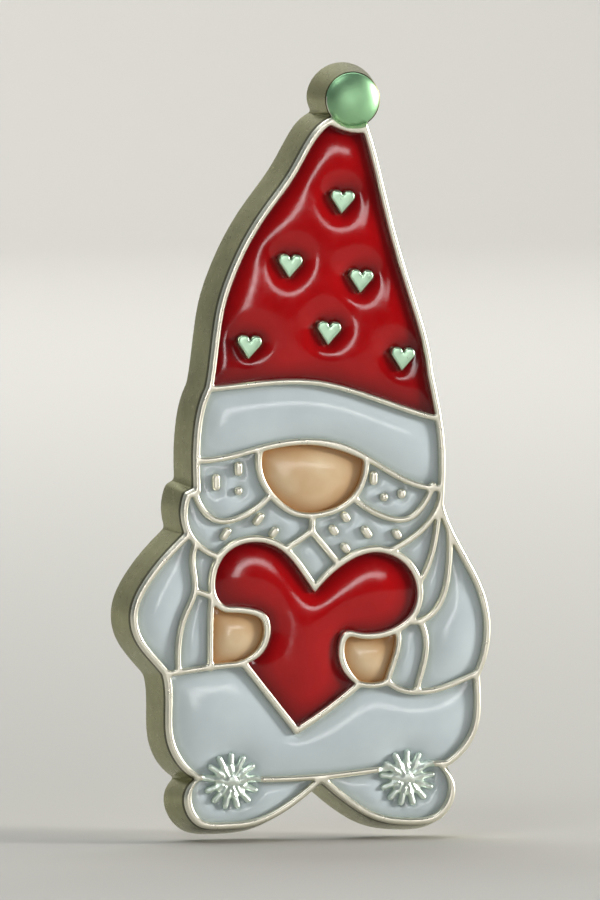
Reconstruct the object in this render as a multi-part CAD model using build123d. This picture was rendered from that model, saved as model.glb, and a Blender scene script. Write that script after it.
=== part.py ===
# Gnome candle pin: a cast metal gnome filled with soft enamel, with a steel spike
# on its back that is pushed into the side of a dinner candle.
# Millimetres, +Z up. The face looks along -Y, the flat back lies on y = 0 and the
# spike points along +Y. The origin is where the axis of the spike meets the back.
import os
from math import cos, hypot, radians, sin

from build123d import *

# ---- driving dimensions -------------------------------------------------------
THICKNESS = 2.4  # front of the metal lines to the flat back
FLARE = 0.42  # how much larger the back is than the front, all round
RIM = 0.27  # width of the raised metal edge around the front
LINE = 0.25  # width of the raised metal lines between the colours
HEART_LINE = 0.28  # width of the metal line around the big heart
POCKET = 0.72  # depth of the enamel pockets below the top of the lines
ENAMEL_DROP = 0.12  # how far the enamel lies below the top of the lines

SPIKE_UP = 14.8  # height of the spike above the soles of the shoes
SHANK_R = 0.6  # radius of the round shank of the spike
SHANK_LENGTH = 7.0  # cylindrical part of the spike, measured from the back
POINT_LENGTH = 3.0  # length of the cone at the end of the spike
HEAD_R = 1.9  # radius of the flat head of the spike
HEAD_THICK = 0.4  # thickness of that head
SOCKET_R = 2.4  # radius of the round recess in the back that takes the head
SOCKET_DEPTH = 0.6  # depth of that recess
SOLDER_DROP = 0.15  # how far the solder around the head lies below the back

POMPOM_X = 1.75  # middle of the ball on the tip of the hat, off the centre line
POMPOM_UP = 30.2  # its height above the soles
POMPOM_R = 1.1
SMALL_HEART_W = 1.06  # bare metal hearts on the hat
SMALL_HEART_H = 1.0
SMALL_HEART_TILT = -4
BURST_R = 1.2  # starbursts over the shoes, to the tips of the rays
BURST_INNER_R = 0.7  # solid middle of a starburst
BURST_RAYS = 13
RAY_WIDTH = 0.26
SEED_R = 0.16  # radius of the raised seeds in the beard


# ---- helpers --------------------------------------------------------------------
def curve(*points):
    """A smooth curve through the points, or a straight line between two."""
    if len(points) == 2:
        return Line(*points)
    return Spline(*points)


def outline(segments):
    """A closed face whose edge runs through each list of points in turn."""
    return make_face([curve(*points) for points in segments])


def widened(segments, amount):
    """The same closed outline, drawn anticlockwise, with every point moved outwards."""
    ring = [p for points in segments for p in points[:-1]]
    moved = {}
    for before, here, after in zip(ring[-1:] + ring[:-1], ring, ring[1:] + ring[:1]):
        a = hypot(here[0] - before[0], here[1] - before[1])
        b = hypot(after[0] - here[0], after[1] - here[1])
        nx = (here[1] - before[1]) / a + (after[1] - here[1]) / b
        ny = (before[0] - here[0]) / a + (here[0] - after[0]) / b
        k = amount * 2 / max(nx * nx + ny * ny, 1.6)
        moved[here] = (here[0] + nx * k, here[1] + ny * k)
    return [[moved[p] for p in points] for points in segments]


def stroke(width, *points):
    """A band of one width along a smooth path, with round ends."""
    ends = [Pos(*points[0]) * Circle(width / 2), Pos(*points[-1]) * Circle(width / 2)]
    return trace(curve(*points), width) + ends


def heart(width, height):
    """A heart with its middle on the origin."""
    tip = (0, -height / 2)
    notch = (0, height * 0.27)
    flank = (width * 0.47, height * 0.14)
    crown = (width * 0.31, height * 0.5)
    half = make_face([Line(tip, flank), ThreePointArc(flank, crown, notch), Line(notch, tip)])
    return half + mirror(half, Plane.YZ)


def starburst(radius, inner, rays, width):
    """A disc with many blunt rays around it, the first one pointing up."""
    star = Circle(inner)
    ray = Pos(0, radius / 2) * SlotOverall(radius, width, rotation=90)
    for i in range(rays):
        star += Rot(0, 0, 360 * i / rays) * ray
    return star


def placed(sketch):
    """A drawing in heights above the soles, stood upright on the plane of the back."""
    return Plane.XZ * (Pos(0, -SPIKE_UP) * sketch)


def layer(sketch, low, high):
    """A slab of the drawing between two distances in front of the back."""
    return Pos(0, -low, 0) * extrude(placed(sketch), amount=high - low)


def on_ball(degrees):
    """A point on the edge of the ball on the hat."""
    a = radians(degrees)
    return (POMPOM_X + POMPOM_R * cos(a), POMPOM_UP + POMPOM_R * sin(a))


# ---- outline of the figure, x to the right and heights above the soles ------------
FIGURE = [
    # left edge of the hat
    [on_ball(220), (0.25, 29.1), (-0.4, 28.2), (-1.03, 27.1), (-2.1, 25.65), (-2.98, 24.25),
     (-3.54, 23.05), (-3.98, 21.75), (-4.22, 20.3), (-4.5, 18.3)],
    # end of the brim, then the cheek
    [(-4.5, 18.3), (-4.8, 17.55), (-5.0, 16.4), (-5.05, 15.5), (-5.02, 14.1)],
    # lock of beard over the arm
    [(-5.02, 14.1), (-5.42, 13.92)],
    [(-5.42, 13.92), (-5.58, 13.1), (-5.4, 12.25)],
    # left arm
    [(-5.4, 12.25), (-6.3, 11.35), (-7.2, 10.2), (-7.68, 9.1), (-7.58, 8.05), (-6.95, 7.1), (-6.35, 6.42)],
    # left side of the body
    [(-6.35, 6.42), (-6.22, 5.0), (-6.15, 3.6), (-5.7, 2.65), (-4.95, 2.03)],
    # left shoe
    [(-4.95, 2.03), (-5.43, 1.0), (-4.9, 0.1), (-3.8, -0.08), (-2.5, 0.03), (-1.1, 0.65), (0.38, 1.8)],
    # right shoe
    [(0.38, 1.8), (1.4, 0.95), (2.8, 0.15), (4.2, -0.05), (5.4, 0.15), (6.05, 1.0), (5.65, 2.3)],
    # right side of the body
    [(5.65, 2.3), (6.4, 2.85), (7.02, 3.8), (7.2, 5.0), (7.15, 6.15)],
    # right arm
    [(7.15, 6.15), (7.5, 7.1), (7.6, 8.4), (7.3, 9.75), (6.45, 11.4), (5.8, 12.7), (5.6, 13.3)],
    # cheek and end of the brim
    [(5.6, 13.3), (5.66, 14.4), (5.65, 15.8), (5.5, 17.0), (5.13, 18.84)],
    # right edge of the hat
    [(5.13, 18.84), (4.9, 20.18), (4.22, 22.4), (3.5, 24.77), (2.98, 26.85), (2.55, 28.5), on_ball(-60)],
    # ball
    [on_ball(-60), on_ball(-25), on_ball(10), on_ball(50), on_ball(90), on_ball(135), on_ball(175),
     on_ball(220)],
]

# ---- shapes that lie inside the outline -------------------------------------------
# big heart held over the belly, edge of its red, from the notch round the left lobe
HEART = [
    [(0.08, 9.7), (-0.47, 10.5), (-1.47, 11.57), (-2.67, 11.83), (-3.67, 11.37), (-4.13, 10.37),
     (-4.0, 9.5), (-3.6, 9.2)],
    # fingers of the left hand
    [(-3.6, 9.2), (-2.67, 9.13), (-1.95, 8.8), (-1.83, 7.85), (-2.2, 7.15), (-2.77, 6.83)],
    # lower edges
    [(-2.77, 6.83), (-0.65, 4.15)],
    [(-0.65, 4.15), (0.83, 5.13), (1.8, 5.9)],
    # fingers of the right hand
    [(1.8, 5.9), (1.2, 6.6), (1.08, 7.5), (1.27, 8.0), (1.65, 8.13)],
    # right lobe
    [(1.65, 8.13), (3.23, 8.13), (4.1, 8.67), (4.43, 9.8), (3.97, 10.8), (2.7, 11.35), (1.43, 10.93),
     (0.08, 9.7)],
]

NOSE = [
    [(2.16, 15.2), (1.2, 15.6), (0.0, 15.85), (-1.2, 15.8), (-2.1, 15.62)],
    [(-2.1, 15.62), (-2.12, 14.76), (-1.52, 13.72), (-0.6, 13.12), (0.4, 13.1), (1.6, 13.68),
     (2.12, 14.7), (2.16, 15.2)],
]

# raised lines between the colours
LINES = [
    # tip of the hat, under the ball
    [(0.6, 29.4), (1.27, 29.05), (1.9, 28.93), (2.45, 29.0)],
    # top of the brim
    [(-4.5, 18.22), (-2.0, 18.46), (0.0, 18.47), (2.0, 18.0), (3.6, 17.44), (5.45, 16.88)],
    # bottom of the brim
    [(-5.0, 15.28), (-3.2, 15.48), (-2.0, 15.8), (-0.4, 16.02), (1.2, 15.82), (2.8, 15.0),
     (4.0, 14.32), (5.55, 14.0)],
    # under the left cheek
    [(-5.0, 14.2), (-4.75, 13.35), (-4.1, 12.78), (-3.1, 12.87), (-1.85, 13.75)],
    # under the right cheek
    [(1.85, 13.55), (3.1, 12.82), (4.1, 12.75), (4.82, 13.45), (5.15, 14.15)],
    # lower edge of the left lock, down to the heart
    [(-5.42, 12.95), (-5.25, 12.25), (-4.6, 11.55), (-3.95, 11.25)],
    # lower edge of the right lock, down to the heart
    [(5.5, 13.75), (5.3, 13.1), (4.6, 12.2), (3.6, 11.55), (3.05, 11.3)],
    # middle of the moustache
    [(0.0, 13.0), (-0.02, 12.2)],
    # chin
    [(-0.02, 12.3), (-0.5, 11.95), (-1.15, 11.55)],
    [(-0.02, 12.25), (0.45, 11.7), (1.1, 10.9)],
    # inner edge of the left arm, then the cuff
    [(-4.95, 11.8), (-5.1, 11.1), (-5.0, 9.9), (-5.45, 8.75), (-5.7, 7.5), (-5.68, 6.45)],
    [(-5.0, 9.87), (-4.15, 9.55)],
    # wrist of the left hand
    [(-4.3, 9.4), (-4.35, 8.0), (-4.35, 6.6)],
    # under the left arm and hand
    [(-6.35, 6.4), (-5.4, 6.52), (-4.4, 6.66), (-2.9, 6.78)],
    # right edge of the beard
    [(5.42, 13.3), (5.25, 11.97), (4.98, 10.9), (4.5, 10.0)],
    # inner edge of the right arm
    [(5.65, 13.2), (5.85, 12.0), (5.8, 10.5), (5.57, 9.47), (5.0, 8.66), (4.3, 8.42)],
    # right cuff
    [(4.6, 8.45), (4.86, 7.5), (4.6, 6.13), (4.43, 5.55)],
    [(3.62, 8.1), (3.63, 7.33), (3.43, 6.67), (3.2, 5.95)],
    [(3.2, 5.95), (3.5, 5.73), (4.43, 5.5)],
    # under the right arm and hand
    [(4.4, 5.52), (5.5, 5.63), (6.3, 5.93), (7.2, 6.3)],
    [(1.8, 5.95), (2.5, 5.8), (3.2, 5.92)],
    # bottom of the belly, over the shoes
    [(-5.0, 2.1), (-2.0, 1.95), (0.38, 2.02), (2.2, 2.2), (5.8, 2.5)],
]

# middles of the hearts on the hat
HAT_HEARTS = [(1.25, 25.95), (-0.97, 23.3), (2.05, 22.65), (0.68, 20.5), (-2.7, 19.95), (3.83, 19.4)]
BURSTS = [(-3.45, 1.9), (4.05, 1.9)]

# seeds in the beard: middle, length and lean in degrees
SEEDS = [
    (-4.1, 14.35, 0.7, 0),
    (-3.15, 14.9, 0.6, 0),
    (-3.15, 13.98, 0.36, 0),
    (-2.3, 12.8, 0.6, -35),
    (-3.7, 12.2, 0.6, -35),
    (-1.65, 12.25, 0.5, -35),
    (1.4, 12.85, 0.5, 35),
    (0.9, 12.3, 0.5, 35),
    (2.3, 12.2, 0.6, 35),
    (1.4, 11.55, 0.5, 35),
    (3.6, 12.1, 0.5, 35),
    (2.6, 14.45, 0.6, 0),
    (3.05, 13.65, 0.36, 0),
    (3.8, 13.78, 0.42, 0),
]

# each colour field: node name and a point inside it
FIELDS = {
    "enamel_hat": (0.5, 24.3),
    "enamel_brim": (0.3, 17.2),
    "enamel_cheek_left": (-4.4, 13.6),
    "enamel_cheek_right": (4.4, 13.7),
    "enamel_moustache_left": (-2.9, 12.4),
    "enamel_moustache_right": (2.9, 12.4),
    "enamel_chin": (0.0, 10.9),
    "enamel_hand_left": (-3.2, 8.0),
    "enamel_hand_right": (2.5, 7.0),
    "enamel_sleeve_left": (-6.5, 9.2),
    "enamel_shoulder_left": (-4.75, 10.7),
    "enamel_cuff_left": (-5.0, 8.0),
    "enamel_beard_right": (4.5, 11.4),
    "enamel_shoulder_right": (5.45, 10.7),
    "enamel_sleeve_right": (6.4, 9.0),
    "enamel_cuff_right": (4.1, 7.0),
    "enamel_belly": (-3.0, 4.5),
    "enamel_shoe_left": (-1.6, 1.4),
    "enamel_shoe_right": (2.2, 1.3),
}

# ---- flat drawings ------------------------------------------------------------------
front = outline(FIGURE)
heart_face = outline(HEART)
nose_face = outline(NOSE)

small_heart = Rot(0, 0, SMALL_HEART_TILT) * heart(SMALL_HEART_W, SMALL_HEART_H)
burst = starburst(BURST_R, BURST_INNER_R, BURST_RAYS, RAY_WIDTH)
islands = [Pos(x, up) * small_heart for x, up in HAT_HEARTS]
islands += [Pos(x, up) * burst for x, up in BURSTS]
for x, up, size, lean in SEEDS:
    islands.append(Pos(x, up) * Rot(0, 0, lean) * SlotOverall(size, 2 * SEED_R, rotation=90))

metal = [stroke(LINE, *points) for points in LINES]
metal += [outline(widened(HEART, HEART_LINE)), outline(widened(NOSE, LINE))]

fields = outline(widened(FIGURE, -RIM))
for piece in metal + islands:
    fields = fields - piece

colours = {"enamel_heart": heart_face, "enamel_nose": nose_face}
for name, (x, up) in FIELDS.items():
    colours[name] = [f for f in fields.faces() if f.is_inside(Vector(x, up, 0))][0]

# ---- casting --------------------------------------------------------------------------
rear = Pos(0, 0, -THICKNESS) * outline(widened(FIGURE, FLARE))
casting = loft([rear, front], ruled=True)
casting = Plane.XZ * (Pos(0, -SPIKE_UP, THICKNESS) * casting)
for face in colours.values():
    casting = casting - layer(face, THICKNESS - POCKET, THICKNESS + 0.1)
casting = casting - Pos(0, -SOCKET_DEPTH / 2, 0) * Rot(90, 0, 0) * Cylinder(SOCKET_R, SOCKET_DEPTH)

# ---- spike and solder, turned about the Y axis ------------------------------------------
head_back = -SOCKET_DEPTH + HEAD_THICK
spike = revolve(
    make_face(
        Polyline(
            (0, -SOCKET_DEPTH),
            (HEAD_R, -SOCKET_DEPTH),
            (HEAD_R, head_back),
            (SHANK_R, head_back),
            (SHANK_R, SHANK_LENGTH),
            (0.06, SHANK_LENGTH + POINT_LENGTH),
            (0, SHANK_LENGTH + POINT_LENGTH),
            close=True,
        )
    ),
    axis=Axis.Y,
)
solder = revolve(
    make_face(
        [
            Line((HEAD_R, -SOCKET_DEPTH), (SOCKET_R, -SOCKET_DEPTH)),
            Line((SOCKET_R, -SOCKET_DEPTH), (SOCKET_R, -SOLDER_DROP)),
            ThreePointArc((SOCKET_R, -SOLDER_DROP), (2.13, -0.24), (HEAD_R, head_back)),
            Line((HEAD_R, head_back), (HEAD_R, -SOCKET_DEPTH)),
        ]
    ),
    axis=Axis.Y,
)

# ---- export -------------------------------------------------------------------------------
os.makedirs("parts", exist_ok=True)
export_step(casting, "parts/casting.step")
export_step(spike, "parts/candle_spike.step")
export_step(solder, "parts/solder_ring.step")
for name, face in colours.items():
    export_step(layer(face, THICKNESS - POCKET, THICKNESS - ENAMEL_DROP), f"parts/{name}.step")
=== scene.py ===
import math

import bpy
import numpy as np
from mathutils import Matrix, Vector
from mathutils.geometry import delaunay_2d_cdt
from mathutils.kdtree import KDTree


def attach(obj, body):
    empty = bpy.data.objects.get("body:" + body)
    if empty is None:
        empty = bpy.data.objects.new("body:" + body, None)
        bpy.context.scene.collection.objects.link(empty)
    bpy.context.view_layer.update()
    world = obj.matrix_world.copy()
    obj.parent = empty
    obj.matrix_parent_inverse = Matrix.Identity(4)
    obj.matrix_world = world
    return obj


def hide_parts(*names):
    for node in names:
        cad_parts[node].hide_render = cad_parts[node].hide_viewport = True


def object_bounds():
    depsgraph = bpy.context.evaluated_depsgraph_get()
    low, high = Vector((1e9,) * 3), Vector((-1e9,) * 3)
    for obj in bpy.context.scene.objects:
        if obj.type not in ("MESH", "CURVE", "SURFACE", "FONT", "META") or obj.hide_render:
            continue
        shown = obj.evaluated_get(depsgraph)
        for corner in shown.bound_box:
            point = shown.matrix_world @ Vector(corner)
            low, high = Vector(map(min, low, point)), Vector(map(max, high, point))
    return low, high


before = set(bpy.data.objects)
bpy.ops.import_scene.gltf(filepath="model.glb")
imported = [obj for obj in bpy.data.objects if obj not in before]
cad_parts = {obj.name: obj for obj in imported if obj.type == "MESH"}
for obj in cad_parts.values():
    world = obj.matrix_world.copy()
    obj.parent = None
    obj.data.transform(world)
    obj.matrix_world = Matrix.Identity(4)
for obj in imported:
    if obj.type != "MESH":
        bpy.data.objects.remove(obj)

MM = 0.001
cad_low, cad_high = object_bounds()

# A flat candle pin: a cast metal body with soft enamel in its pockets, and a spike on its back.
# The front faces -Y, the back lies at y = 0, and the spike runs along +Y from the origin.
# Outlines are read from the flat faces of the CAD nodes, as (x, z) points in millimetres.

# ---- sizes in millimetres ---------------------------------------------------------------
THICK = 2.4  # from the back to the front of the metal lines
FLARE = 0.42  # about how far the back stands out past the front
EDGE_R = 0.1  # rounding of the metal lines
BACK_R = 0.13  # rounding of the back edge
LIP_DROP = 0.06  # how far the thin lip outside the rim slopes back
LIP_OUT = 0.06  # and its share of the way from the front outline out to the back outline
WALL_SHARES = (0.16, 0.26, 0.45, 0.7, 1 - BACK_R / THICK)  # rows of the side wall, on that way
POCKET = 0.72  # depth of the pockets for the enamel
POCKET_ROW = 0.4  # depth of the row of points on their walls
SPIKE_UP = 14.8  # height of the spike above the soles
BALL = np.array((1.75, 30.2 - SPIKE_UP))
BALL_R = 1.1
BALL_SEAT = 0.02  # how far the top of the ball lies below the metal lines
BALL_BLEND = 0.08  # width of the step from the ball to the metal round it
DOME_R = BALL_R + 0.05  # the ball is the middle of a dome of this radius
DOME_HEIGHT = 0.4  # and this height
BURSTS = [np.array((-3.45, 1.9 - SPIKE_UP)), np.array((4.05, 1.9 - SPIKE_UP))]
BURST_R = 1.3
BURST_FALL = 0.05  # how much lower the tips of the rays lie than their middle
RAYS = 13
GROOVE = 0.09  # depth between the rays
HEART_AREA = (0.3, 0.9)  # square mm: among the islands, only the hat's hearts are this large
SOCKET_R = 2.4
SOCKET_DEPTH = 0.6
SOCKET_CHAMFER = 0.06
HEAD_R = 1.9
SHANK_R = 0.6
SPIKE_LENGTH = 10.0

ENAMEL_EDGE = 0.3  # how far the enamel lies below the metal at its edge
ENAMEL_TOP = 0.02  # and on the level part in the middle of a wide field
REACH = 0.8  # how far from an edge the enamel needs to level off
HEART_REACH = 1.4  # and in the big heart, which is domed all over
ENAMEL_SINK = 0.12  # how far the flat enamel of the CAD lies below the metal
ENAMEL_GRIP = 0.012  # how far the enamel runs into the walls of its pocket

STEP = 0.06  # spacing of points along the outlines
SMALL_STEP = 0.045  # and along the outlines of small fields and islands
SMALL_AREA = 1.5  # square mm
METAL_GRID = 0.1  # spacing of points on the metal's front
METAL_RINGS = (0.03, 0.065, 0.1)  # rows of points at these distances from its edges
ENAMEL_GRID = 0.09  # and the same for the enamel
ENAMEL_RINGS = (0.04, 0.09, 0.15)


# ---- outlines ---------------------------------------------------------------------------
def twice_area(a, b, c):
    """Twice the area of the triangle abc, positive where its corners run anticlockwise."""
    ab, ac = b - a, c - a
    return ab[..., 0] * ac[..., 1] - ab[..., 1] * ac[..., 0]


def cap_loops(node, depth):
    """Closed outlines of a CAD node's flat face at y = -depth, with the solid on the left."""
    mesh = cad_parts[node].data
    corners = np.array([v.co for v in mesh.vertices]) * 1000
    flat = np.abs(corners[:, 1] + depth) < 0.003
    numbers = {}
    index = [numbers.setdefault((round(x, 3), round(z, 3)), len(numbers)) for x, _, z in corners]
    points = np.array(list(numbers))
    edges = {}
    for polygon in mesh.polygons:
        if not all(flat[i] for i in polygon.vertices):
            continue
        ring = [index[i] for i in polygon.vertices]
        if len(set(ring)) < 3:
            continue
        if twice_area(*points[ring[:3]]) < 0:
            ring.reverse()
        for i, j in zip(ring, ring[1:] + ring[:1]):
            if (j, i) in edges:
                del edges[(j, i)]
            else:
                edges[(i, j)] = True
    following = {}
    for i, j in edges:
        following.setdefault(i, []).append(j)
    loops = []
    while following:
        start = next(iter(following))
        ring = [start]
        here = start
        while here in following:
            onward = following[here].pop()
            if not following[here]:
                del following[here]
            if onward == start:
                break
            ring.append(onward)
            here = onward
        if len(ring) > 2:
            loops.append(points[ring])
    return loops


def area(loop):
    """The area inside a closed outline, positive where it runs anticlockwise."""
    x, z = loop[:, 0], loop[:, 1]
    return 0.5 * float(np.sum(x * np.roll(z, -1) - z * np.roll(x, -1)))


def largest_first(loops):
    return sorted(loops, key=lambda loop: -abs(area(loop)))


def box_middle(loop):
    return (loop.min(0) + loop.max(0)) / 2


def averaged(values):
    """Values round a closed outline, each blended with its two neighbours."""
    return 0.5 * values + 0.25 * (np.roll(values, 1, 0) + np.roll(values, -1, 0))


def resampled(loop, step, passes):
    """Evenly spaced points along a closed outline, with its corners softened a little."""
    gaps = np.linalg.norm(np.roll(loop, -1, 0) - loop, axis=1)
    along = np.concatenate([[0], np.cumsum(gaps)])
    count = max(12, int(round(along[-1] / step)))
    at = np.linspace(0, along[-1], count, endpoint=False)
    closed = np.vstack([loop, loop[:1]])
    out = np.column_stack([np.interp(at, along, closed[:, 0]), np.interp(at, along, closed[:, 1])])
    for _ in range(passes):
        out = averaged(out)
    return out


def front_outline(loop):
    """An outline of the front with even points, closer together on a small one."""
    if abs(area(loop)) > SMALL_AREA:
        return resampled(loop, STEP, 2)
    return resampled(loop, SMALL_STEP, 1)


def left_normals(loop):
    """Unit vectors to the left of a closed outline, one for each point."""
    d = np.roll(loop, -1, 0) - np.roll(loop, 1, 0)
    d /= np.maximum(np.linalg.norm(d, axis=1, keepdims=True), 1e-9)
    return np.column_stack([-d[:, 1], d[:, 0]])


def circle(parts):
    """Points of a circle of radius 1 about the origin, anticlockwise from +x."""
    turn = np.linspace(0, 2 * math.pi, parts, endpoint=False)
    return np.column_stack([np.cos(turn), np.sin(turn)])


def upright(p, y):
    """Points of a flat drawing, at y or at a y of their own."""
    return np.column_stack([p[:, 0], np.broadcast_to(y, len(p)), p[:, 1]])


class Nearest:
    """Finds the number of the point that is nearest to each of some others."""

    def __init__(self, points):
        self.tree = KDTree(len(points))
        for i, (x, z) in enumerate(points):
            self.tree.insert((x, z, 0), i)
        self.tree.balance()

    def numbers(self, p):
        return np.array([self.tree.find((x, z, 0))[1] for x, z in p])


class Edges:
    """Distance from any point to the nearest of a set of closed outlines."""

    def __init__(self, loops):
        self.points = np.vstack(loops)
        self.nearest = Nearest(self.points)
        after, before = [], []
        base = 0
        for loop in loops:
            n = len(loop)
            after += [base + (i + 1) % n for i in range(n)]
            before += [base + (i - 1) % n for i in range(n)]
            base += n
        self.after, self.before = np.array(after), np.array(before)

    def distance(self, p):
        near = self.nearest.numbers(p)
        best = np.full(len(p), 1e9)
        for other in (self.after, self.before):
            a, b = self.points[near], self.points[other[near]]
            ab = b - a
            t = np.clip(np.sum((p - a) * ab, 1) / np.maximum(np.sum(ab * ab, 1), 1e-12), 0, 1)
            best = np.minimum(best, np.linalg.norm(p - a - ab * t[:, None], axis=1))
        return best


def inside(loops, p):
    """Which points lie in the region that the outlines bound, by the even-odd rule."""
    odd = np.zeros(len(p), bool)
    for loop in loops:
        low, high = loop.min(0), loop.max(0)
        near = np.where((p[:, 1] >= low[1]) & (p[:, 1] <= high[1]) & (p[:, 0] <= high[0]))[0]
        if not len(near):
            continue
        q = p[near]
        hit = np.zeros(len(q), bool)
        for (x0, z0), (x1, z1) in zip(loop, np.roll(loop, -1, 0)):
            across = (z0 > q[:, 1]) != (z1 > q[:, 1])
            if across.any():
                x = x0 + (q[:, 1] - z0) * (x1 - x0) / (z1 - z0)
                hit ^= across & (q[:, 0] < x)
        odd[near] ^= hit
    return odd


def thinned(points, size=0.011):
    """The points without those that lie in the same cell as an earlier one, or in a cell beside it."""
    taken = set()
    keep = []
    for i, (x, z) in enumerate(points):
        column, row = int(x // size), int(z // size)
        if any((column + a, row + b) in taken for a in (-1, 0, 1) for b in (-1, 0, 1)):
            continue
        taken.add((column, row))
        keep.append(i)
    return points[keep]


def inner_points(loops, rings, grid, more):
    """Points inside a region: any that are given, rows along its edges, then an even grid."""
    edges = Edges(loops)
    found = []
    if more is not None:
        found.append(more[inside(loops, more) & (edges.distance(more) > 0.03)])
    for d in rings:
        moved = np.vstack([loop + left_normals(loop) * d for loop in loops])
        found.append(moved[edges.distance(moved) > 0.93 * d])
    outline = np.vstack(loops)
    low, high = outline.min(0), outline.max(0)
    x, z = np.meshgrid(np.arange(low[0], high[0], grid), np.arange(low[1], high[1], grid * 0.866))
    x = x + (np.arange(len(x)) % 2)[:, None] * grid / 2
    p = np.column_stack([x.ravel(), z.ravel()])
    p = p[inside(loops, p)]
    found.append(p[edges.distance(p) > rings[-1] + 0.6 * grid])
    return thinned(np.vstack(found))


def filled(loops, rings=(), grid=0.0, more=None):
    """Points and triangles of a region, with the points of its outlines first and in order."""
    points = np.vstack(loops)
    if rings:
        points = np.vstack([points, inner_points(loops, rings, grid, more)])
    lines = []
    base = 0
    for loop in loops:
        n = len(loop)
        lines += [(base + i, base + (i + 1) % n) for i in range(n)]
        base += n
    places, _, faces, origins, _, _ = delaunay_2d_cdt([Vector(p) for p in points], lines, [], 0, 1e-7)
    places = np.array([tuple(p) for p in places])
    tri = np.array([f for f in faces if len(f) == 3])
    tri = tri[inside(loops, places[tri].mean(1))]

    # The triangulation numbers its points anew, and adds one where two lines cross.
    points = list(points)
    numbers = []
    for place, came_from in zip(places, origins):
        if came_from:
            numbers.append(min(came_from))
        else:
            numbers.append(len(points))
            points.append(place)
    points = np.array(points)
    tri = np.array(numbers)[tri]
    flip = twice_area(points[tri[:, 0]], points[tri[:, 1]], points[tri[:, 2]]) < 0
    tri[flip] = tri[flip][:, ::-1]
    return points, tri


class Sheet:
    """Collects the points, in millimetres, and the faces of one piece."""

    def __init__(self):
        self.points, self.faces, self.count = [], [], 0

    def add(self, p):
        """Adds points, and returns the number of the first."""
        self.points.append(np.asarray(p, float))
        self.count += len(p)
        return self.count - len(p)

    def bridge(self, a, b, n):
        """Quads between two rings of n points that start at a and b."""
        for i in range(n):
            j = (i + 1) % n
            self.faces.append((a + i, a + j, b + j, b + i))

    def made(self, name, material, sharp=35):
        """The piece as an object, where edges that turn by more than sharp degrees are creased."""
        mesh = bpy.data.meshes.new(name)
        points = (np.vstack(self.points) * MM).tolist()
        faces = [tuple(int(i) for i in f) for f in self.faces]
        mesh.from_pydata(points, [], faces)
        mesh.validate()
        mesh.shade_smooth()
        mesh.set_sharp_from_angle(angle=math.radians(sharp))
        mesh.materials.append(material)
        piece = bpy.data.objects.new(name, mesh)
        bpy.context.scene.collection.objects.link(piece)
        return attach(piece, "root")


# ---- materials --------------------------------------------------------------------------
def node_material(name):
    material = bpy.data.materials.new(name)
    material.use_nodes = True
    return material, material.node_tree, material.node_tree.nodes["Principled BSDF"]


def noise(tree, scale, detail=4, rough=0.55, stretch=None):
    """Noise over the object's own coordinates, which are in metres."""
    node = tree.nodes.new("ShaderNodeTexNoise")
    node.inputs["Scale"].default_value = scale
    node.inputs["Detail"].default_value = detail
    node.inputs["Roughness"].default_value = rough
    place = tree.nodes.new("ShaderNodeTexCoord").outputs["Object"]
    if stretch:
        mapping = tree.nodes.new("ShaderNodeMapping")
        mapping.inputs["Scale"].default_value = stretch
        tree.links.new(place, mapping.inputs["Vector"])
        place = mapping.outputs["Vector"]
    tree.links.new(place, node.inputs["Vector"])
    return node.outputs["Fac"]


def ramp(tree, source, low, high, start, end):
    """A value that goes from start to end while the source goes from low to high."""
    node = tree.nodes.new("ShaderNodeMapRange")
    node.inputs["From Min"].default_value = low
    node.inputs["From Max"].default_value = high
    node.inputs["To Min"].default_value = start
    node.inputs["To Max"].default_value = end
    tree.links.new(source, node.inputs["Value"])
    return node.outputs["Result"]


def mixed(tree, factor, colour, other):
    """A colour where the factor is 0, and the other, a colour or a socket, where it is 1."""
    node = tree.nodes.new("ShaderNodeMix")
    node.data_type = "RGBA"
    node.inputs["A"].default_value = (*colour, 1)
    if isinstance(other, tuple):
        node.inputs["B"].default_value = (*other, 1)
    else:
        tree.links.new(other, node.inputs["B"])
    tree.links.new(factor, node.inputs["Factor"])
    return node.outputs["Result"]


def bump(tree, shader, height, strength, distance, below=None):
    """Gives the shader a bump, on top of the one below if there is one."""
    node = tree.nodes.new("ShaderNodeBump")
    node.inputs["Strength"].default_value = strength
    node.inputs["Distance"].default_value = distance
    tree.links.new(height, node.inputs["Height"])
    if below:
        tree.links.new(below, node.inputs["Normal"])
    tree.links.new(node.outputs["Normal"], shader.inputs["Normal"])
    return node.outputs["Normal"]


def enamel(name, edge_shade, deep, bright, rough, shade_width):
    """Glossy enamel, clouded between deep and bright, with painted shade in the edge colour along its
    edges, next to the metal.

    The stored rise of the field is 0 at an edge, and the painted edge shade has gone where the rise reaches
    the given width.
    """
    material, tree, shader = node_material(name)
    cloud = mixed(tree, ramp(tree, noise(tree, 420, 3), 0.35, 0.65, 0, 1), deep, bright)
    pool = tree.nodes.new("ShaderNodeAttribute")
    pool.attribute_name = "pool"
    # Painted shade: the enamel darkens to the edge colour next to the metal walls, and the shade fades out
    # as the rise grows.
    shade_fade = ramp(tree, pool.outputs["Fac"], 0.0, shade_width, 0, 1)
    tree.links.new(mixed(tree, shade_fade, edge_shade, cloud), shader.inputs["Base Color"])
    wear = ramp(tree, noise(tree, 2600, 5, 0.6), 0.3, 0.7, rough * 0.75, rough * 1.35)
    tree.links.new(wear, shader.inputs["Roughness"])
    shader.inputs["IOR"].default_value = 1.45
    ripples = bump(tree, shader, noise(tree, 700, 2), 0.2, 0.00003)
    bump(tree, shader, noise(tree, 9000, 2), 0.05, 0.000005, ripples)
    return material


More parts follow.
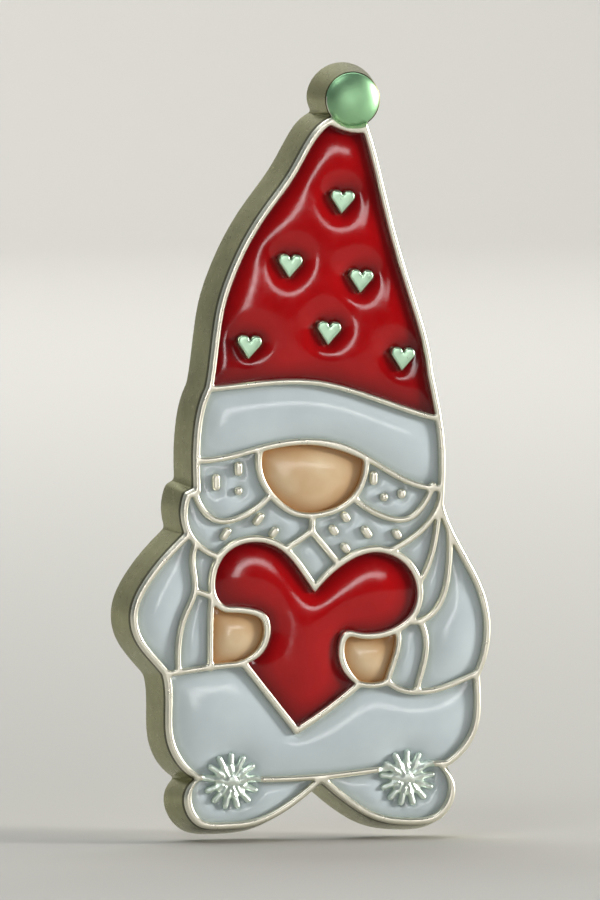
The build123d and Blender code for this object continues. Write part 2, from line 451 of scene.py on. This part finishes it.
def metal(name, colour, other, rough, scratch=0.12, grain=1500):
    """Metal clouded between two colours, with a range of roughness, scratches and pits."""
    material, tree, shader = node_material(name)
    shader.inputs["Metallic"].default_value = 1.0
    cloud = ramp(tree, noise(tree, 700, 4), 0.35, 0.65, 0, 1)
    tree.links.new(mixed(tree, cloud, colour, other), shader.inputs["Base Color"])
    wear = ramp(tree, noise(tree, 3200, 6, 0.65), 0.3, 0.7, *rough)
    tree.links.new(wear, shader.inputs["Roughness"])
    scratches = bump(tree, shader, noise(tree, 5200, 3, 0.6, (1.0, 1.0, 0.08)), scratch, 0.00001)
    bump(tree, shader, noise(tree, grain, 4), scratch, 0.00003, scratches)
    return material


PLATE = metal("plated_metal", (0.93, 0.9, 0.76), (0.86, 0.84, 0.7), (0.26, 0.36), scratch=0.03)
# Painted shade and painted dark reflection: the side wall is the same plating as the front, given a darker
# olive copy of its colour.
SIDE_PAINTED_DARK = metal("plated_side_painted_dark", (0.35, 0.35, 0.185), (0.28, 0.28, 0.145), (0.24, 0.36))
# Painted shade: a near-black copy of the plating for the band of the side wall just under the rim.
UNDER_RIM_SHADE = metal("painted_shade_under_rim", (0.12, 0.12, 0.06), (0.08, 0.08, 0.04), (0.3, 0.4))
BALL_GREEN = metal("plated_ball", (0.37, 0.66, 0.37), (0.32, 0.59, 0.33), (0.38, 0.46), scratch=0.03)
PALE = metal("plated_ornament", (0.92, 1.0, 0.92), (0.85, 0.95, 0.86), (0.34, 0.44), scratch=0.03)
MINT = metal("plated_heart", (0.62, 0.88, 0.64), (0.54, 0.8, 0.57), (0.26, 0.36), scratch=0.03)
BACKING = metal("plated_back", (0.8, 0.76, 0.61), (0.72, 0.68, 0.54), (0.34, 0.5), scratch=0.35, grain=2600)
# Each enamel's edge colour is painted shade, darker than the enamel and laid along the metal walls; the
# last number is how far the shade reaches.
RED = enamel(
    "red_enamel", edge_shade=(0.12, 0.0005, 0.002), deep=(0.41, 0.0015, 0.003), bright=(0.48, 0.004, 0.006),
    rough=0.1, shade_width=0.62,
)
WHITE = enamel(
    "white_enamel", edge_shade=(0.42, 0.49, 0.5), deep=(0.6, 0.675, 0.705), bright=(0.655, 0.74, 0.765),
    rough=0.14, shade_width=0.3,
)
SKIN = enamel(
    "skin_enamel", edge_shade=(0.42, 0.19, 0.06), deep=(0.73, 0.49, 0.27), bright=(0.84, 0.65, 0.41),
    rough=0.16, shade_width=0.6,
)
STEEL = metal("steel", (0.56, 0.56, 0.57), (0.48, 0.48, 0.49), (0.22, 0.38))
SOLDER = metal("solder", (0.5, 0.5, 0.5), (0.36, 0.36, 0.37), (0.35, 0.6), scratch=0.6, grain=1800)

# ---- outlines of the casting ------------------------------------------------------------
top_loops = [front_outline(loop) for loop in largest_first(cap_loops("casting", THICK))]
outer = top_loops[0]
back_outer = resampled(largest_first(cap_loops("casting", 0.0))[0], STEP, 6)


def fallen(r, radius):
    """How far a unit dome of this radius has fallen at distance r from its middle."""
    return 1 - np.sqrt(np.maximum(1 - (r / radius) ** 2, 0))


def metal_drop(p, d):
    """How far the metal's front lies below its highest level, at points with distance d from its edges."""
    drop = EDGE_R * fallen(np.clip(1 - d / EDGE_R, 0, 1), 1)
    r = np.linalg.norm(p - BALL, axis=1)
    on_ball = np.clip((BALL_R + BALL_BLEND - r) / BALL_BLEND, 0, 1)
    dome = BALL_SEAT + DOME_HEIGHT * fallen(np.minimum(r, BALL_R), DOME_R)
    drop = drop * (1 - on_ball) + on_ball * dome
    for middle in BURSTS:
        q = p - middle
        r = np.linalg.norm(q, axis=1)
        angle = np.arctan2(q[:, 1], q[:, 0]) - math.pi / 2
        groove = 0.5 - 0.5 * np.cos(RAYS * angle)
        on_burst = np.clip((BURST_R - r) / 0.1, 0, 1)  # fades out over the last 0.1 mm
        rays = GROOVE * groove * np.clip(r / 0.3, 0, 1) + BURST_FALL * np.clip(r / 1.2, 0, 1)
        drop = drop + on_burst * rays
    return drop


def matched_back(front):
    """For each point of the front outline, the point of the back outline straight out from it."""
    n = len(front)
    dense = resampled(back_outer, 0.01, 0)
    m = len(dense)

    # Places along the back outline, which only run forwards and once round.
    near = Nearest(dense).numbers(front - left_normals(front) * FLARE).astype(float)
    jump = np.diff(near, prepend=near[-1])
    jump = (jump + m / 2) % m - m / 2
    jump[0] = 0
    place = np.maximum.accumulate(near[0] + np.cumsum(jump))
    place = np.minimum(place, place[0] + m - 2)

    # Their lead over even steps, averaged with the neighbours on both sides.
    even = m / n * np.arange(n)
    lead = place - even
    half = 5
    kernel = np.hanning(2 * half + 1)
    kernel /= kernel.sum()
    lead = np.convolve(np.concatenate([lead[-half:], lead, lead[:half]]), kernel, "valid")
    place = np.maximum.accumulate(lead + even) % m
    i = np.floor(place).astype(int)
    rest = (place - i)[:, None]
    return dense[i % m] * (1 - rest) + dense[(i + 1) % m] * rest


# ---- casting ----------------------------------------------------------------------------
body = Sheet()
starts = np.cumsum([0] + [len(loop) for loop in top_loops])
floor_y = -THICK + POCKET


def add_cap(known, p, tri, y):
    """Adds triangles whose first points are known in the body, with the others at y."""
    first = body.add(upright(p[len(known):], y))
    numbers = np.concatenate([known, np.arange(first, first + len(p) - len(known))])
    body.faces += [tuple(int(i) for i in numbers[corners]) for corners in tri]
    return first


# The front, with circles of points over the ball, about 0.07 mm apart.
radii = np.linspace(0.06, BALL_R + 0.12, 19)
hoops = np.vstack([BALL + r * circle(int(r * 90) + 6) for r in radii])
points, tri = filled(top_loops, METAL_RINGS, METAL_GRID, hoops)
edge_distance = Edges(top_loops).distance(points)
edge_distance[: starts[-1]] = 0
heights = -THICK + metal_drop(points, edge_distance)
base = body.add(upright(points, heights))
body.faces += [tuple(base + i for i in corners) for corners in tri]

# The walls of the pockets.
floor_of = {}
for k, loop in enumerate(top_loops[1:], 1):
    n = len(loop)
    top = int(base + starts[k])
    halfway = body.add(upright(loop, -THICK + POCKET_ROW))
    floor_of[k] = body.add(upright(loop, floor_y))
    body.bridge(halfway, top, n)
    body.bridge(floor_of[k], halfway, n)


def rim_number(rim):
    """The number of the front outline that a rim of flat enamel fills."""
    error = [
        np.abs(box_middle(loop) - box_middle(rim)).sum() + 0.2 * abs(abs(area(loop)) - abs(area(rim)))
        for loop in top_loops
    ]
    return int(np.argmin(error))


# The enamel fields, each with the numbers of the outlines that bound it, and the floors below them.
fields = {}
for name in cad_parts:
    if name.startswith("enamel_"):
        fields[name] = [rim_number(rim) for rim in cap_loops(name, THICK - ENAMEL_SINK)]

for rims in fields.values():
    p, tri = filled([top_loops[k][::-1] for k in rims])
    known = np.concatenate([floor_of[k] + np.arange(len(top_loops[k]))[::-1] for k in rims])
    add_cap(known, p, tri, floor_y)

# The side wall, from the rim out to the back.
around = len(outer)
rear = matched_back(outer)
level = heights[:around] + LIP_DROP
previous = body.add(upright(outer + (rear - outer) * LIP_OUT, level))
body.bridge(base, previous, around)
wall_start = len(body.faces)
for share in WALL_SHARES:
    level = np.maximum(-THICK * (1 - share), level + 0.01)
    ring = body.add(upright(outer + (rear - outer) * share, level))
    body.bridge(previous, ring, around)
    previous = ring
out_normal = -left_normals(rear)
for _ in range(6):
    out_normal = averaged(out_normal)
for degrees in (30, 60, 90):
    a = math.radians(degrees)
    back_edge = rear - out_normal * BACK_R * (1 - math.cos(a))
    ring = body.add(upright(back_edge, -BACK_R * (1 - math.sin(a))))
    body.bridge(previous, ring, around)
    previous = ring

# The back, with a round recess for the head of the spike.
back_start = len(body.faces)
parts = 96
mouth = circle(parts)[::-1] * (SOCKET_R + SOCKET_CHAMFER)
recess = circle(parts)[::-1] * SOCKET_R
p, tri = filled([back_edge, mouth])
first = add_cap(np.arange(previous, previous + around), p, tri[:, ::-1], 0.0)
shoulder = body.add(upright(recess, -SOCKET_CHAMFER))
deep = body.add(upright(recess, -SOCKET_DEPTH))
body.bridge(first, shoulder, parts)
body.bridge(shoulder, deep, parts)
body.faces.append(tuple(range(deep + parts - 1, deep - 1, -1)))

# Its finishes, by the number of the material on each face.
ON_FRONT, ON_BACK, ON_SIDE, ON_BURST, ON_BALL, ON_UNDER_RIM_SHADE, ON_HEART = range(7)
casting = body.made("casting_body", PLATE)
for extra in (BACKING, SIDE_PAINTED_DARK, PALE, BALL_GREEN, UNDER_RIM_SHADE, MINT):
    casting.data.materials.append(extra)
ornaments = [(BALL, BALL_R + 0.01, ON_BALL)]
ornaments += [(middle, BURST_R - 0.05, ON_BURST) for middle in BURSTS]
for loop in top_loops[1:]:
    if HEART_AREA[0] < area(loop) < HEART_AREA[1]:
        across = float(np.linalg.norm(np.ptp(loop, axis=0)))
        ornaments.append((box_middle(loop), across / 2 + 0.02, ON_HEART))


def finish_of(polygon):
    """The number of the material that a face of the casting takes."""
    x, y, z = polygon.center / MM
    if y > -0.03 or (y > -SOCKET_DEPTH - 0.02 and math.hypot(x, z) < SOCKET_R + 0.05):
        return ON_BACK
    # The first row of the side wall, under the rim, takes the painted shade.
    if wall_start <= polygon.index < wall_start + around:
        return ON_UNDER_RIM_SHADE
    # The rest of the side wall takes the darker, painted-shade copy of the plating.
    if wall_start <= polygon.index < back_start:
        return ON_SIDE
    for middle, radius, number in ornaments:
        if math.hypot(x - middle[0], z - middle[1]) < radius:
            return number
    return ON_FRONT


for polygon in casting.data.polygons:
    polygon.material_index = finish_of(polygon)
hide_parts("casting")


# ---- enamel -----------------------------------------------------------------------------
def pooled(p, tri, count, reach):
    """Height of a liquid skin held down at the first points, which levels off at 1 over about the reach.

    It solves h - reach^2 * laplacian(h) = 1 on the triangles, by conjugate gradients.
    """
    n = len(p)
    i, j, w = [], [], []  # the two ends of each edge, and its weight
    mass = np.zeros(n)  # the area that belongs to each point
    for k in range(3):
        a, b, c = tri[:, k], tri[:, (k + 1) % 3], tri[:, (k + 2) % 3]
        u, v = p[a] - p[c], p[b] - p[c]
        twice = np.maximum(np.abs(u[:, 0] * v[:, 1] - u[:, 1] * v[:, 0]), 1e-9)
        cot = np.clip(np.sum(u * v, 1) / twice, -5, 20) / 2
        i += [a, b]
        j += [b, a]
        w += [cot, cot]
        mass += np.bincount(a, twice / 6, n)
    i, j, w = np.concatenate(i), np.concatenate(j), np.concatenate(w)
    diagonal = np.bincount(i, w, n) + mass / reach**2
    free = np.arange(n) >= count

    def applied(h):
        return np.where(free, diagonal * h - np.bincount(i, w * h[j], n), 0)

    # Here h is the height, r is what is left to solve and d is the direction of the next step.
    h = np.zeros(n)
    r = np.where(free, mass / reach**2, 0)
    z = r / diagonal
    d = z.copy()
    rz = float(r @ z)
    for _ in range(400):
        q = applied(d)
        step = rz / max(float(d @ q), 1e-30)
        h += step * d
        r -= step * q
        z = np.where(free, r / diagonal, 0)
        fresh = float(z @ r)
        if fresh < 1e-16:
            break
        d = z + d * fresh / rz
        rz = fresh
    return np.clip(h, 0, 1.2)


finish = {"enamel_hat": (RED, "red_enamel"), "enamel_heart": (RED, "red_enamel")}
for name in ("enamel_nose", "enamel_hand_left", "enamel_hand_right"):
    finish[name] = (SKIN, "skin_enamel")
for name, rims in fields.items():
    loops = [top_loops[k][::-1] for k in rims]
    loops = [loop - left_normals(loop) * ENAMEL_GRIP for loop in loops]
    count = sum(len(loop) for loop in loops)
    p, tri = filled(loops, ENAMEL_RINGS, ENAMEL_GRID)
    is_heart = name == "enamel_heart"
    rise = pooled(p, tri, count, HEART_REACH if is_heart else REACH)
    crest = float(rise.max())
    rise = rise / crest * (1.0 if is_heart else crest**0.4)  # a narrow field rises less
    piece = Sheet()
    top = piece.add(upright(p, -THICK + ENAMEL_EDGE - (ENAMEL_EDGE - ENAMEL_TOP) * rise))
    piece.faces += [tuple(corners) for corners in tri]
    p, tri = filled(loops)
    bottom = piece.add(upright(p, floor_y + 0.01))
    at = 0
    for loop in loops:
        piece.bridge(bottom + at, top + at, len(loop))
        at += len(loop)
    piece.faces += [tuple(bottom + i for i in corners[::-1]) for corners in tri]
    material, slot_name = finish.get(name, (WHITE, "white_enamel"))
    made = piece.made("glaze_" + name[len("enamel_"):], material)
    # The rise is kept on the points, where the material lays painted shade along the edges of the field.
    pool = made.data.attributes.new("pool", "FLOAT", "POINT")
    pool.data.foreach_set("value", np.concatenate([rise, np.zeros(len(p))]).astype(np.float32))
    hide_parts(name)


# ---- spike, turned about the Y axis -------------------------------------------------------
def turned(name, profile, material, parts=64):
    """A closed turned shape from (radius, y) pairs in mm; it starts and ends on the axis."""
    piece = Sheet()
    rings = []
    for r, y in profile:
        if r == 0:
            rings.append((piece.add([(0, y, 0)]), 1))
        else:
            rings.append((piece.add(upright(circle(parts) * r, y)), parts))
    for (a, count_a), (b, count_b) in zip(rings, rings[1:]):
        for i in range(parts):
            j = (i + 1) % parts
            if count_a == 1:
                piece.faces.append((a, b + j, b + i))
            elif count_b == 1:
                piece.faces.append((a + i, a + j, b))
            else:
                piece.faces.append((a + i, a + j, b + j, b + i))
    return piece.made(name, material, 40)


head_front = [(0, -SOCKET_DEPTH), (1.82, -SOCKET_DEPTH), (HEAD_R, -0.54)]
head_back = [(HEAD_R, -0.29), (1.88, -0.23), (1.82, -0.2), (1.2, -0.19)]
shank = [(0.74, -0.19), (0.66, -0.15), (0.61, -0.07), (SHANK_R, 0.05), (SHANK_R, 3.5), (SHANK_R, 6.9)]
tip = [(0.575, 7.15), (0.36, 8.4), (0.12, 9.8), (0.05, 9.97), (0, SPIKE_LENGTH)]
spike = turned("steel_spike", head_front + head_back + shank + tip, STEEL)
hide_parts("candle_spike")

# ---- solder, a closed ring with an uneven flow --------------------------------------------
parts = 180
turn = np.linspace(0, 2 * math.pi, parts, endpoint=False)
wave = 0.035 * np.sin(3 * turn + 0.6) + 0.022 * np.sin(7 * turn + 2.1) + 0.012 * np.sin(13 * turn)
solder_section = (  # radius, y, and how much of the wave the radius and the height take
    (1.89, -0.6, 0, 0),
    (2.39, -0.6, 0, 0),
    (2.39, -0.13, 0, 0.5),
    (2.28, -0.2, 0.3, 0.6),
    (2.12, -0.23, 0.6, 0.8),
    (2.0, -0.2, 0.8, 0.8),
    (1.9, -0.165, 1.0, 0.6),
    (1.8, -0.165, 1.4, 0.3),
    (1.72, -0.2, 1.6, 0),
    (1.7, -0.22, 1.6, 0),
)
flow = Sheet()
rings = []
for r, y, out_share, up_share in solder_section:
    ring = circle(parts) * (r + out_share * wave)[:, None]
    rings.append(flow.add(upright(ring, y + up_share * wave * 0.6)))
for a, b in zip(rings, rings[1:] + rings[:1]):
    flow.bridge(a, b, parts)
solder = flow.made("solder_fillet", SOLDER, 60)
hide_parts("solder_ring")

# ---- floor and world, in metres ------------------------------------------------------------
HALF_WIDTH = 1.3  # of the floor
NEAR, FAR, SWEEP = -0.27, 1.0, 0.25  # its front edge, the wall behind, and the curve between them
WALL_TOP = 0.7
sole = cad_low[2] - 0.0002
profile = [(NEAR, 0.0), (FAR - SWEEP, 0.0)]
for a in np.linspace(0, math.pi / 2, 16)[1:]:
    profile.append((FAR - SWEEP + SWEEP * math.sin(a), SWEEP * (1 - math.cos(a))))
profile.append((FAR, WALL_TOP))
corners = [(x, y, sole + z) for y, z in profile for x in (-HALF_WIDTH, HALF_WIDTH)]
strips = [(2 * i, 2 * i + 1, 2 * i + 3, 2 * i + 2) for i in range(len(profile) - 1)]
floor_mesh = bpy.data.meshes.new("floor")
floor_mesh.from_pydata(corners, [], strips)
floor_mesh.shade_smooth()
floor = bpy.data.objects.new("floor", floor_mesh)
bpy.context.scene.collection.objects.link(floor)
floor_paint, _, floor_shader = node_material("floor")
floor_shader.inputs["Base Color"].default_value = (0.56, 0.54, 0.5, 1)
floor_shader.inputs["Roughness"].default_value = 0.85
floor_mesh.materials.append(floor_paint)

# The world is dim in front, which keeps the red enamel deep, and lighter behind.
world = bpy.data.worlds.new("studio")
bpy.context.scene.world = world
world.use_nodes = True
sky = world.node_tree
sky_place = sky.nodes.new("ShaderNodeTexCoord")
split = sky.nodes.new("ShaderNodeSeparateXYZ")
background = sky.nodes["Background"]
sky.links.new(sky_place.outputs["Generated"], split.inputs[0])
sky.links.new(ramp(sky, split.outputs["Y"], -0.9, 0.9, 0.07, 0.4), background.inputs["Strength"])
background.inputs["Color"].default_value = (0.88, 0.97, 1.0, 1)
bpy.context.scene.view_settings.view_transform = "Standard"


# ---- camera and lights ---------------------------------------------------------------------
def direction(azimuth, elevation):
    """A unit vector towards the front of the part, turned to the right and up, in degrees."""
    a, e = math.radians(azimuth), math.radians(elevation)
    return Vector((math.sin(a) * math.cos(e), -math.cos(a) * math.cos(e), math.sin(e)))


VIEW = (-12.5, 3.0)  # azimuth and elevation of the camera
MIRRORED = (-VIEW[0], -VIEW[1])  # where a flat front sends the camera's view
CAMERA_FAR = 0.42
VIEW_HEIGHT = 0.0375  # what the frame holds from top to bottom at the part
aim = Vector((-0.0003, -0.0012, 0.0008))
camera = bpy.data.cameras.new("camera")
camera.sensor_fit = "VERTICAL"
camera.sensor_height = 36
camera.lens = camera.sensor_height * CAMERA_FAR / VIEW_HEIGHT
camera.clip_start = 0.01
camera.clip_end = 10
eye = bpy.data.objects.new("camera", camera)
bpy.context.scene.collection.objects.link(eye)
eye.location = aim + direction(*VIEW) * CAMERA_FAR
eye.rotation_euler = (aim - eye.location).to_track_quat("-Z", "Y").to_euler()
bpy.context.scene.camera = eye


def softbox(name, place, far, size, power, colour, target=aim):
    """A rectangular light at an azimuth and elevation, that faces the part or another target."""
    data = bpy.data.lights.new(name, "AREA")
    data.shape = "RECTANGLE"
    data.size, data.size_y = size
    data.energy = power
    data.color = colour
    lamp = bpy.data.objects.new(name, data)
    lamp.visible_camera = False
    bpy.context.scene.collection.objects.link(lamp)
    lamp.location = aim + direction(*place) * far
    lamp.rotation_euler = (target - lamp.location).to_track_quat("-Z", "Y").to_euler()


# An arc of small lamps round the mirrored direction draws a thin line round each dome of enamel.
# It is brightest at 135 degrees, up to the left.
ARC_R = 12.5  # degrees
for i in range(12):
    turn = math.radians(212 - 14 * i)
    place = (MIRRORED[0] + ARC_R * math.cos(turn), MIRRORED[1] + ARC_R * math.sin(turn))
    peak = 0.5 + 0.5 * math.cos(turn - math.radians(135))
    power = 0.026 + 0.034 * peak
    softbox(f"arc_{i}", place, far=0.75, size=(0.052, 0.052), power=power, colour=(1.0, 0.96, 0.97))
softbox("right", (86, 12), far=0.4, size=(0.36, 0.22), power=1.2, colour=(1.0, 0.98, 0.93))
softbox("key", (70, 12), far=0.45, size=(0.08, 0.08), power=1.4, colour=(1.0, 0.99, 0.96))
softbox("front_left", (-38, 52), far=0.5, size=(0.2, 0.2), power=0.42, colour=(0.97, 0.99, 1.0))
softbox(
    "backdrop", (180, 53), far=0.75, size=(0.8, 0.5), power=6.5, colour=(0.98, 0.99, 1.0),
    target=Vector((0, 0.9, 0)),
)
